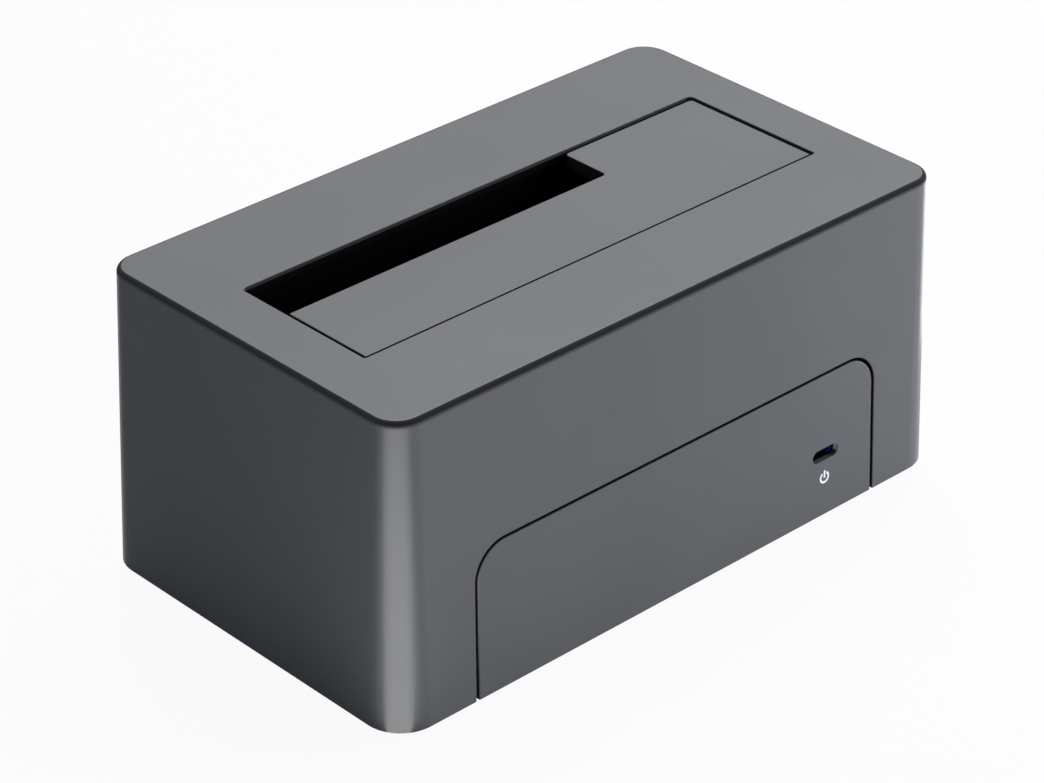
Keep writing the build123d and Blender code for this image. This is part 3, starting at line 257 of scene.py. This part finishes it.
# The cover's rolled rim is painted darker as painted shade, standing in for its dark reflection, and comes
# back to the wall's tone at its lower edge; inside the opening the walls are painted near black as painted
# shade, under a thin lip painted dark grey. The wall's edge in the front groove is painted black as painted
# shade
def paintedShadePlastic(look, rim, inner, groove):
    material, tree, shader, colour = mouldedPlastic("caseGreyPaintedShade", look)
    height = objectAxis(tree, "Z")
    bottom = rim["steps"][-1][0]
    span = rim["top"] - bottom
    # painted shade: the rim band darkens with height, and more where the rim faces forward
    stops = [((at - bottom) / span, (tone, tone, tone)) for at, tone in reversed(rim["steps"])]
    band = ramp(tree, remap(tree, height, bottom, rim["top"]), [*stops, (1.0, (1, 1, 1))])
    forward = remap(tree, facing(tree, "Y"), *rim["frontFacing"], rim["frontShade"], 1.0)
    frontShaded = mixColour(tree, band, forward, (1, 1, 1))
    rimShaded = mixColour(tree, calculate(tree, "MULTIPLY", band, frontShaded), (0, 0, 0), colour)
    grained = shader.inputs["Roughness"].links[0].from_socket
    banded = remap(tree, band, *rim["bandSpan"], rim["roughness"], look["roughness"] - grainSwing)
    inside = inBox(tree, X=inner["x"], Y=inner["y"])
    tree.links.new(calculate(tree, "MAXIMUM", grained, banded), shader.inputs["Roughness"])
    # painted shade inside the opening: the lip dark grey, the walls below it near black, their reflections
    # tinted black
    lip = calculate(tree, "LESS_THAN", height, inner["lipTop"])
    below = calculate(tree, "LESS_THAN", height, inner["lipBottom"])
    shadedSheen = mixColour(tree, calculate(tree, "MULTIPLY", inside, below), (1, 1, 1), (0, 0, 0))
    tree.links.new(shadedSheen, shader.inputs["Specular Tint"])
    lipShaded = mixColour(tree, lip, colour, shade(look["colour"], inner["lipShade"]))
    recessShaded = mixColour(tree, below, lipShaded, shade(look["colour"], inner["tone"]))
    whole = mixColour(tree, inside, rimShaded, recessShaded)
    # painted shade in the front groove, deeper means darker
    front = inBox(tree, X=groove["x"], Y=groove["y"], Z=groove["z"])
    sunk = calculate(tree, "MULTIPLY", front, remap(tree, frontDepth(tree), *groove["deep"]))
    grooveShadeColour = shade(look["colour"], groove["tone"])
    tree.links.new(mixColour(tree, sunk, whole, grooveShadeColour), shader.inputs["Base Color"])
    return material


# The flap's skin is case grey; its sides and its ribbed underside are painted black as painted shade
def flapShadedPlastic(look, flap):
    material, tree, shader, colour = mouldedPlastic("flapGreyShadedEdges", look)
    # painted shade on the flap's sides and underside
    side = remap(tree, objectAxis(tree, "Z"), flap["edgeBottom"], flap["edgeTop"], 1.0, 0.0)
    paintedShade = shade(look["colour"], flap["edgeShade"])
    tree.links.new(mixColour(tree, side, colour, paintedShade), shader.inputs["Base Color"])
    return material


# The front panel's face is case grey and its edge in the groove is painted black as painted shade. The window
# hole's walls are painted dark grey as painted shade, and its right end carries a painted highlight
def panelPaintedLightPlastic(look, panel):
    material, tree, shader, colour = mouldedPlastic("panelGreyPaintedLight", look)
    # painted shade: the groove edge black, the window hole's walls dark grey
    side = remap(tree, frontDepth(tree), panel["edge"], panel["deep"])
    paintedShade = shade(look["colour"], panel["edgeShade"])
    hole = inBox(tree, X=panel["holeX"], Z=panel["holeZ"])
    shadedWalls = mixColour(tree, hole, paintedShade, shade(look["colour"], panel["holeShade"]))
    edged = mixColour(tree, side, colour, shadedWalls)
    # painted highlight: the right end of the window hole is painted pale
    near = remap(tree, distanceFrom(tree, panel["endAt"]), *panel["endReach"])
    highlightMask = calculate(tree, "MULTIPLY", near, side)
    tree.links.new(mixColour(tree, highlightMask, edged, panel["endHighlight"]), shader.inputs["Base Color"])
    return material


blackFinish = {
    "colour": (0.012, 0.012, 0.012),
    "cloud": 0.05,
    "cloudSize": 14 * mm,
    "grainSize": 0.35 * mm,
    "grainDepth": 0.01 * mm,
    "roughness": 0.55,
    "specular": 0.3,
}
baseFinish = dict(blackFinish, colour=(0.05, 0.05, 0.052), roughness=0.6)
insertFinish = dict(blackFinish, colour=(0.02, 0.11, 0.42), roughness=0.35, grainSize=0.5 * mm)
plungerFinish = dict(blackFinish, colour=(0.7, 0.69, 0.66), roughness=0.35, cloud=0.01)
chipFinish = dict(blackFinish, colour=(0.018, 0.018, 0.019), roughness=0.45, grainDepth=0.02 * mm)
ferriteFinish = dict(blackFinish, colour=(0.07, 0.068, 0.066), roughness=0.5, grainDepth=0.03 * mm)
rubberFinish = dict(
    blackFinish, colour=(0.02, 0.02, 0.02), roughness=0.8, grainSize=0.6 * mm, grainDepth=0.03 * mm
)


# Metal: a draw or brush direction along one axis, with small changes of roughness
def metal(name, look):
    material, tree, shader = newMaterial(name)
    lines = noise(tree, objectPoint(tree, look["stretch"]), look["lineSize"], detail=4.0)
    low, high = look["roughness"] - look["swing"], look["roughness"] + look["swing"]
    rough = remap(tree, lines, *grainSpan, low, high)
    tone = mixColour(tree, lines, *(shade(look["colour"], factor) for factor in look["tones"]))
    tree.links.new(rough, shader.inputs["Roughness"])
    tree.links.new(tone, shader.inputs["Base Color"])
    shader.inputs["Metallic"].default_value = 1.0
    bumpFrom(tree, shader, lines, look["depth"])
    return material


steelFinish = {
    "colour": (0.62, 0.62, 0.64),
    "tones": (0.88, 1.06),
    "roughness": 0.28,
    "swing": 0.07,
    "stretch": (0.12, 1, 1),
    "lineSize": 0.25 * mm,
    "depth": 0.006 * mm,
}
screwFinish = dict(steelFinish, colour=(0.3, 0.3, 0.31), roughness=0.34, stretch=(1, 1, 1))
shellFinish = dict(steelFinish, colour=(0.66, 0.66, 0.65), roughness=0.25, stretch=(1, 0.15, 1))
goldFinish = dict(steelFinish, colour=(0.9, 0.66, 0.28), roughness=0.22, stretch=(1, 1, 0.15))
chromeFinish = dict(steelFinish, colour=(0.82, 0.82, 0.83), roughness=0.12, stretch=(1, 0.2, 1))
canFinish = dict(steelFinish, colour=(0.74, 0.74, 0.75), roughness=0.33, stretch=(1, 1, 0.2))


boardFinish = {
    "mask": (0.012, 0.12, 0.045),
    "track": (0.03, 0.2, 0.08),
    "trackPitch": 2.2 * mm,
    "trackEdge": (0.06, 0.09),
    "roughness": 0.3,
    "depth": 0.02 * mm,
}


# Solder mask over copper tracks: right-angled lines that stand a little proud
def boardMaterial(look):
    material, tree, shader = newMaterial("boardGreen")
    cells = tree.nodes.new("ShaderNodeTexVoronoi")
    cells.distance = "MANHATTAN"
    cells.feature = "DISTANCE_TO_EDGE"
    cells.inputs["Scale"].default_value = 1 / look["trackPitch"]
    tree.links.new(objectPoint(tree, (1, 1, 0)), cells.inputs["Vector"])
    track = remap(tree, cells.outputs["Distance"], *look["trackEdge"], 1.0, 0.0)
    tree.links.new(mixColour(tree, track, look["mask"], look["track"]), shader.inputs["Base Color"])
    shader.inputs["Roughness"].default_value = look["roughness"]
    bumpFrom(tree, shader, track, look["depth"])
    return material


lensFinish = {
    "colour": (0.001, 0.001, 0.003),
    "glow": (0.012, 0.014, 0.16),
    "glowAt": (37.75 * mm, 0, 13.3 * mm),
    "glowSize": 1.3 * mm,
    "swirlSize": 2 * mm,
    "roughness": 0.12,
    "swing": 0.03,
    "specular": 0.0,
}


# Tinted lens: nearly black, with a painted blue glow of the lamp near its right end
def lensMaterial(look):
    material, tree, shader = newMaterial("tintedLens")
    # painted light: a blue spot of colour where the lamp's glow shows through
    paintedGlow = remap(tree, distanceFrom(tree, look["glowAt"]), look["glowSize"], 0.0)
    tree.links.new(mixColour(tree, paintedGlow, look["colour"], look["glow"]), shader.inputs["Base Color"])
    swirl = noise(tree, objectPoint(tree), look["swirlSize"])
    low, high = look["roughness"] - look["swing"], look["roughness"] + look["swing"]
    rough = remap(tree, swirl, *grainSpan, low, high)
    tree.links.new(rough, shader.inputs["Roughness"])
    shader.inputs["Specular IOR Level"].default_value = look["specular"]
    return material


lampFinish = {
    "colour": (0.35, 0.5, 0.9),
    "hazeSize": 0.8 * mm,
    "hazeTone": 1.15,
    "roughness": 0.12,
    "transmission": 0.5,
}


# Lamp body: clear tinted resin, its leads the same piece
def lampMaterial(look):
    material, tree, shader = newMaterial("lampResin")
    haze = noise(tree, objectPoint(tree), look["hazeSize"])
    tint = mixColour(tree, haze, look["colour"], shade(look["colour"], look["hazeTone"]))
    tree.links.new(tint, shader.inputs["Base Color"])
    shader.inputs["Roughness"].default_value = look["roughness"]
    shader.inputs["Transmission Weight"].default_value = look["transmission"]
    return material


finishes = {
    "rimmed": paintedShadePlastic(caseFinish, rimShadeFinish, recessShade, grooveShadeFinish),
    "flap": flapShadedPlastic(caseFinish, flapShadeFinish),
    "panel": panelPaintedLightPlastic(caseFinish, panelFinish),
    "base": mouldedPlastic("basePlastic", baseFinish)[0],
    "bay": mouldedPlastic("bayBlack", dict(blackFinish, colour=(0.002, 0.002, 0.002), specular=0.04))[0],
    "port": mouldedPlastic("portBlack", dict(blackFinish, colour=(0.016, 0.016, 0.016), roughness=0.42))[0],
    "insert": mouldedPlastic("insertBlue", insertFinish)[0],
    "plunger": mouldedPlastic("plungerWhite", plungerFinish)[0],
    "chip": mouldedPlastic("chipResin", chipFinish)[0],
    "ferrite": mouldedPlastic("ferriteGrey", ferriteFinish)[0],
    "rubber": mouldedPlastic("footRubber", rubberFinish)[0],
    "steel": metal("springSteel", steelFinish),
    "screw": metal("screwSteel", screwFinish),
    "shell": metal("shellSteel", shellFinish),
    "gold": metal("contactGold", goldFinish),
    "chrome": metal("pinChrome", chromeFinish),
    "can": metal("canAluminium", canFinish),
    "board": boardMaterial(boardFinish),
    "lens": lensMaterial(lensFinish),
    "lamp": lampMaterial(lampFinish),
}

nodeFinishes = {
    "top_cover": "rimmed",
    "housing": "rimmed",
    "front_panel": "panel",
    "flap": "flap",
    "base_plate": "base",
    "drive_bay": "bay",
    "led_window": "lens",
    "hinge_pin": "steel",
    "left_flap_spring": "steel",
    "right_flap_spring": "steel",
    "switch_spring": "steel",
    "bay_screws": "screw",
    "base_screws": "screw",
    "board_screws": "screw",
    "rubber_feet": "rubber",
    "circuit_board": "board",
    "socket_body": "port",
    "socket_contacts": "gold",
    "usb_shell": "shell",
    "usb_insert": "insert",
    "usb_contacts": "gold",
    "jack_body": "port",
    "jack_pin": "chrome",
    "switch_body": "port",
    "switch_plunger": "plunger",
    "power_button": "port",
    "status_led": "lamp",
    "led_spacer": "port",
    "bridge_chip": "chip",
    "crystal": "can",
    "capacitors": "can",
    "inductors": "ferrite",
    "regulators": "chip",
}
for node, finish in nodeFinishes.items():
    slots = nodes[node].data.materials
    slots.clear()
    slots.append(finishes[finish])
print("finishes:", len(finishes))


def makePiece(name, mesh, material, body):
    data = bpy.data.meshes.new(name)
    mesh.to_mesh(data)
    mesh.free()
    data.materials.append(material)
    piece = bpy.data.objects.new(name, data)
    bpy.context.scene.collection.objects.link(piece)
    if body:
        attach(piece, body)
    return piece


icon = {
    "x": 35.3 * mm,
    "z": 8.6 * mm,
    "radius": 1.18 * mm,
    "line": 0.41 * mm,
    "gapHalfAngle": 32,
    "barTop": 1.4 * mm,
    "barLength": 1.5 * mm,
    "thickness": 0.03 * mm,
    "steps": 48,
    "colour": (0.97, 0.97, 0.97),
    "inkSize": 0.15 * mm,
    "inkTone": 0.96,
    "roughness": 0.45,
}


# Printed power symbol under the window: an open ring and an upright bar, laid on the sloping front
def powerIcon(look):
    housingLow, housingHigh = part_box("housing")
    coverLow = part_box("top_cover")[0]
    slope = (coverLow[1] - housingLow[1]) / (housingHigh[2] - housingLow[2])
    front = housingLow[1] + (look["z"] - housingLow[2]) * slope
    shape = bmesh.new()
    inner = look["radius"] - look["line"]
    half = look["thickness"] / 2
    turned = math.radians(look["gapHalfAngle"])
    profile = [(inner, -half), (look["radius"], -half), (look["radius"], half), (inner, half)]
    corners = [shape.verts.new((r * math.sin(turned), y, r * math.cos(turned))) for r, y in profile]
    section = shape.faces.new(corners)
    bmesh.ops.spin(
        shape,
        geom=[section, *section.edges, *section.verts],
        cent=(0, 0, 0),
        axis=(0, 1, 0),
        angle=2 * math.pi - 2 * turned,
        steps=look["steps"],
        use_duplicate=False,
    )
    bar = bmesh.ops.create_cube(shape, size=1)["verts"]
    bmesh.ops.scale(shape, vec=(look["line"], look["thickness"], look["barLength"]), verts=bar)
    bmesh.ops.translate(shape, vec=(0, 0, look["barTop"] - look["barLength"] / 2), verts=bar)
    bmesh.ops.recalc_face_normals(shape, faces=shape.faces)
    lean = Matrix.Rotation(-math.atan(slope), 4, "X")
    bmesh.ops.transform(shape, matrix=lean, verts=shape.verts)
    bmesh.ops.translate(shape, vec=(look["x"], front - half / 2, look["z"]), verts=shape.verts)
    material, tree, shader = newMaterial("printWhite")
    ink = noise(tree, objectPoint(tree), look["inkSize"])
    white = mixColour(tree, ink, shade(look["colour"], look["inkTone"]), look["colour"])
    tree.links.new(white, shader.inputs["Base Color"])
    shader.inputs["Roughness"].default_value = look["roughness"]
    return makePiece("power_icon", shape, material, "case")


powerIcon(icon)
print("power icon printed")


mergeDistance = 0.001 * mm


# A spring: a merged, smooth-shaded copy of the CAD coil's own shape, standing in for the hidden node
def livingSpring(node):
    shape = bmesh.new()
    shape.from_mesh(nodes[node].data)
    bmesh.ops.remove_doubles(shape, verts=shape.verts, dist=mergeDistance)
    for face in shape.faces:
        face.smooth = True
    spring = makePiece("live_" + node, shape, finishes["steel"], None)
    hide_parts(node)
    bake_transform(spring)


for node, side in (("left_flap_spring", 1), ("right_flap_spring", -1)):
    livingSpring(node)
livingSpring(
    "switch_spring",
)
print("springs wound")


studio = {
    "floorSize": 8.0,
    "floorColour": (0.52, 0.52, 0.52),
    "floorRoughness": 0.9,
    "floorGlow": 0.94,
    "glossShare": 0.4,
    "ambient": 0.24,
    "ambientTint": (0.84, 0.96, 1.16),
    "target": (0.0, 0.0, 0.03),
    "dullLamps": ("frontLamp",),  # left out of reflections, or the top mirrors them from low behind
    "lamps": {
        "topLamp": {"at": (0.36, 0.34, 0.86), "size": 0.46, "power": 8.15, "tint": (1.0, 0.995, 0.985)},
        "frontLamp": {"at": (0.40, -0.25, 0.18), "size": 0.3, "power": 3.3, "tint": (0.97, 0.99, 1.04)},
    },
    "glints": {
        "frontGlint": {"at": (-0.1213, -0.0944, 0.0008), "size": 0.12, "power": 0.45, "tint": (1, 1, 1)},
        "sideGlint": {"at": (0.165, 0.005, 0.001), "size": 0.12, "power": 0.13, "tint": (1, 1, 1)},
    },
}


# White where the camera sees it, and only a share of that where gloss and clear plastic do
def whiteToViewer(tree, plain, white, share, glossShare):
    light = tree.nodes.new("ShaderNodeLightPath")
    gloss = calculate(tree, "MAXIMUM", light.outputs["Is Glossy Ray"], light.outputs["Is Transmission Ray"])
    seen = calculate(
        tree, "MAXIMUM",
        calculate(tree, "MULTIPLY", light.outputs["Is Camera Ray"], share),
        calculate(tree, "MULTIPLY", gloss, glossShare),
    )
    mix = tree.nodes.new("ShaderNodeMixShader")
    tree.links.new(seen, mix.inputs["Fac"])
    tree.links.new(plain, mix.inputs[1])
    tree.links.new(white, mix.inputs[2])
    return mix.outputs[0]


def layFloor(look):
    shape = bmesh.new()
    bmesh.ops.create_grid(shape, x_segments=1, y_segments=1, size=look["floorSize"] / 2)
    material = bpy.data.materials.new("floorPaper")
    material.use_nodes = True
    tree = material.node_tree
    shader = tree.nodes["Principled BSDF"]
    shader.inputs["Base Color"].default_value = (*look["floorColour"], 1)
    shader.inputs["Roughness"].default_value = look["floorRoughness"]
    shader.inputs["Specular IOR Level"].default_value = 0.0
    glow = tree.nodes.new("ShaderNodeEmission")
    glow.inputs["Color"].default_value = (1, 1, 1, 1)
    paper, shine = shader.outputs["BSDF"], glow.outputs["Emission"]
    shown = whiteToViewer(tree, paper, shine, look["floorGlow"], look["glossShare"])
    tree.links.new(shown, tree.nodes["Material Output"].inputs["Surface"])
    floor = makePiece("floor", shape, material, None)


def addLamp(name, lamp, aim):
    data = bpy.data.lights.new(name, "AREA")
    data.shape = "SQUARE"
    data.size = lamp["size"]
    data.energy = lamp["power"]
    data.color = lamp["tint"]
    light = bpy.data.objects.new(name, data)
    light.location = lamp["at"]
    light.rotation_euler = aim.to_track_quat("-Z", "Y").to_euler()
    bpy.context.scene.collection.objects.link(light)
    return light


def lightRoom(look):
    scene = bpy.context.scene
    world = bpy.data.worlds.new("studio")
    scene.world = world
    world.use_nodes = True
    tree = world.node_tree
    ambient = tree.nodes["Background"]
    ambient.inputs["Color"].default_value = (*look["ambientTint"], 1)
    ambient.inputs["Strength"].default_value = look["ambient"]
    white = tree.nodes.new("ShaderNodeBackground")
    white.inputs["Color"].default_value = (1, 1, 1, 1)
    plain, bright = ambient.outputs["Background"], white.outputs["Background"]
    shown = whiteToViewer(tree, plain, bright, 1.0, look["glossShare"])
    tree.links.new(shown, tree.nodes["World Output"].inputs["Surface"])
    for name, lamp in look["lamps"].items():
        light = addLamp(name, lamp, Vector(look["target"]) - Vector(lamp["at"]))
        light.visible_glossy = name not in look["dullLamps"]
    for name, lamp in look["glints"].items():
        glint = addLamp(name, lamp, Vector((0, 0, 1)))
        glint.visible_camera = False
        glint.visible_diffuse = False
    scene.view_settings.view_transform = "Standard"


layFloor(studio)
lightRoom(studio)
print("studio lit")


photoCamera = {
    "at": (-0.38353, -0.40494, 0.35680),
    "azimuth": 43.300,
    "elevation": 30.831,
    "roll": 0.190,
    "lens": 128.93,
    "sensor": 36.0,
    "clipStart": 0.01,
}


def placeCamera(look):
    azimuth, elevation, roll = (math.radians(look[key]) for key in ("azimuth", "elevation", "roll"))
    forward = Vector((
        math.sin(azimuth) * math.cos(elevation),
        math.cos(azimuth) * math.cos(elevation),
        -math.sin(elevation),
    ))
    level = Vector((math.cos(azimuth), -math.sin(azimuth), 0))
    upright = level.cross(forward)
    right = level * math.cos(roll) + upright * math.sin(roll)
    up = upright * math.cos(roll) - level * math.sin(roll)
    turn = Matrix((right, up, -forward)).transposed().to_4x4()
    data = bpy.data.cameras.new("photoCamera")
    data.sensor_fit = "HORIZONTAL"
    data.sensor_width = look["sensor"]
    data.lens = look["lens"]
    data.clip_start = look["clipStart"]
    camera = bpy.data.objects.new("photoCamera", data)
    camera.matrix_world = Matrix.Translation(look["at"]) @ turn
    bpy.context.scene.collection.objects.link(camera)
    bpy.context.scene.camera = camera


placeCamera(photoCamera)
print("camera placed")
